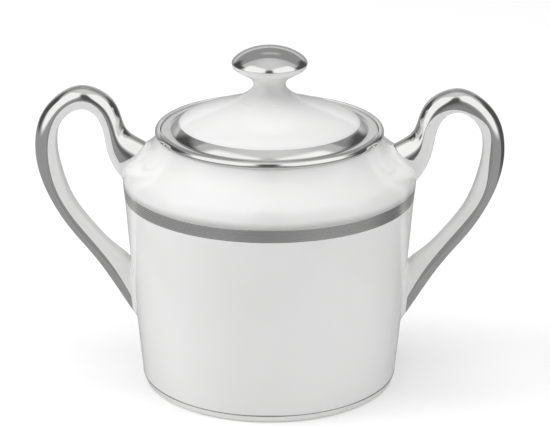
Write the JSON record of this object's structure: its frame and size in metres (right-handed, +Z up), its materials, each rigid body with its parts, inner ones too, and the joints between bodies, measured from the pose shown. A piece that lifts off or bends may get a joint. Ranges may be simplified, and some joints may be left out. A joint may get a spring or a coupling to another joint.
{
  "type": "covered sugar bowl",
  "caption": "Round covered sugar bowl in white glazed porcelain with platinum bands, looped side handles and a domed lid that lifts off by a mushroom knob.",
  "frame": {"origin": "centre of the foot ring's resting face, on the bowl's axis", "axes": "+Z up along the bowl's axis, +X through the right handle, +Y towards the back"},
  "size_m": [0.1522, 0.0958, 0.1129],
  "materials": {
    "porcelain": "white hard porcelain under a clear gloss glaze",
    "platinum": "fired-on bright platinum film",
    "platinum_matt": "fired-on platinum film with a fine turned, satin surface"
  },
  "bodies": {
    "bowl": {"bowl_body": "porcelain", "foot_line": "platinum", "shoulder_band": "platinum_matt", "rim_band": "platinum", "handle_right": "porcelain", "handle_band_right": "platinum", "handle_left": "porcelain", "handle_band_left": "platinum"},
    "cover": {"lid": "porcelain", "lid_edge_band": "platinum", "lid_knob": "porcelain", "knob_cap": "platinum"}
  },
  "joints": [
    {"name": "lid_lift", "type": "slide", "parent": "bowl", "child": "cover", "axis": [0, 0, 1], "range_m": [0, 0.06]}
  ]
}
